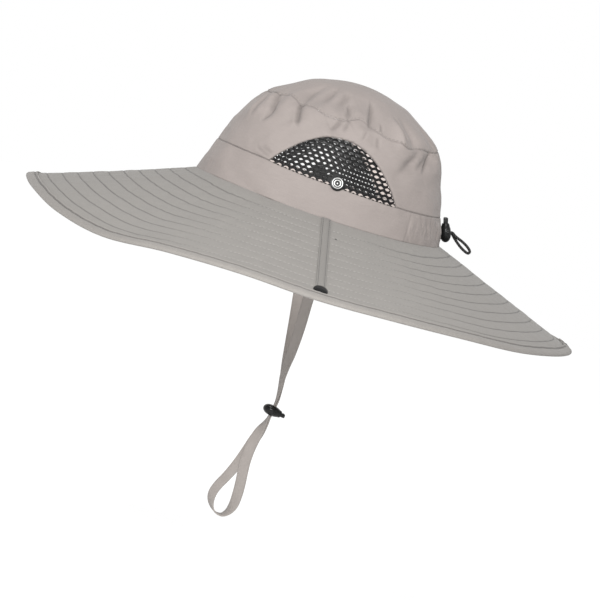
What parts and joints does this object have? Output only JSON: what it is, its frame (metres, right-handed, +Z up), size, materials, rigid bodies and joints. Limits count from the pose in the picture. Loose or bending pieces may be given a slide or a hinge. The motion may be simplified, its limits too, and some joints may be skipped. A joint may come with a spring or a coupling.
{
  "type": "wide brim fishing hat",
  "caption": "Soft wide brim fishing hat with mesh side vents, a quilted brim, brim snaps, a chin strap with a cord lock and a rear drawcord.",
  "frame": {"origin": "the middle of the head opening, in the plane of the seam between crown and brim, where the hat sits on a head", "axes": "+Z up along the crown, -Y to the front of the hat, +X to the wearer's left"},
  "size_m": [0.4256, 0.4657, 0.3701],
  "materials": {
    "crown_cloth": "light warm grey nylon, faint sheen",
    "brim_cloth": "grey nylon, stitched in rings",
    "binding_cloth": "pale woven edge tape",
    "strap_tape": "flat woven tape",
    "vent_net": "black open mesh",
    "cord": "black elastic cord",
    "snap_metal": "silver snap ring",
    "black_plastic": "black, slightly glossy"
  },
  "bodies": {
    "hat": {"crown_side": "crown_cloth", "crown_top": "crown_cloth", "band": "crown_cloth", "brim": "brim_cloth", "brim_binding": "binding_cloth", "brim_tab_left": "brim_cloth", "brim_tab_right": "brim_cloth", "vent_net_left": "vent_net", "vent_net_right": "vent_net", "snap_socket_left": "snap_metal", "snap_socket_right": "snap_metal", "snap_stud_left": "black_plastic", "snap_stud_right": "black_plastic", "chin_strap": "strap_tape", "chin_lock_body": "black_plastic", "back_cord": "cord", "back_lock_body": "black_plastic"},
    "chin_plunger": {"chin_lock_plunger": "black_plastic"},
    "back_plunger": {"back_lock_plunger": "black_plastic"}
  },
  "joints": [
    {"name": "chin_plunger_press", "type": "slide", "parent": "hat", "child": "chin_plunger", "axis": [0, -0.9903, 0.1392], "range_m": [0, 0.0025], "stiffness_N_per_m": 200, "springref_m": -0.004},
    {"name": "back_plunger_press", "type": "slide", "parent": "hat", "child": "back_plunger", "axis": [0, 0.2986, -0.9544], "range_m": [0, 0.0025], "stiffness_N_per_m": 200, "springref_m": -0.004}
  ]
}
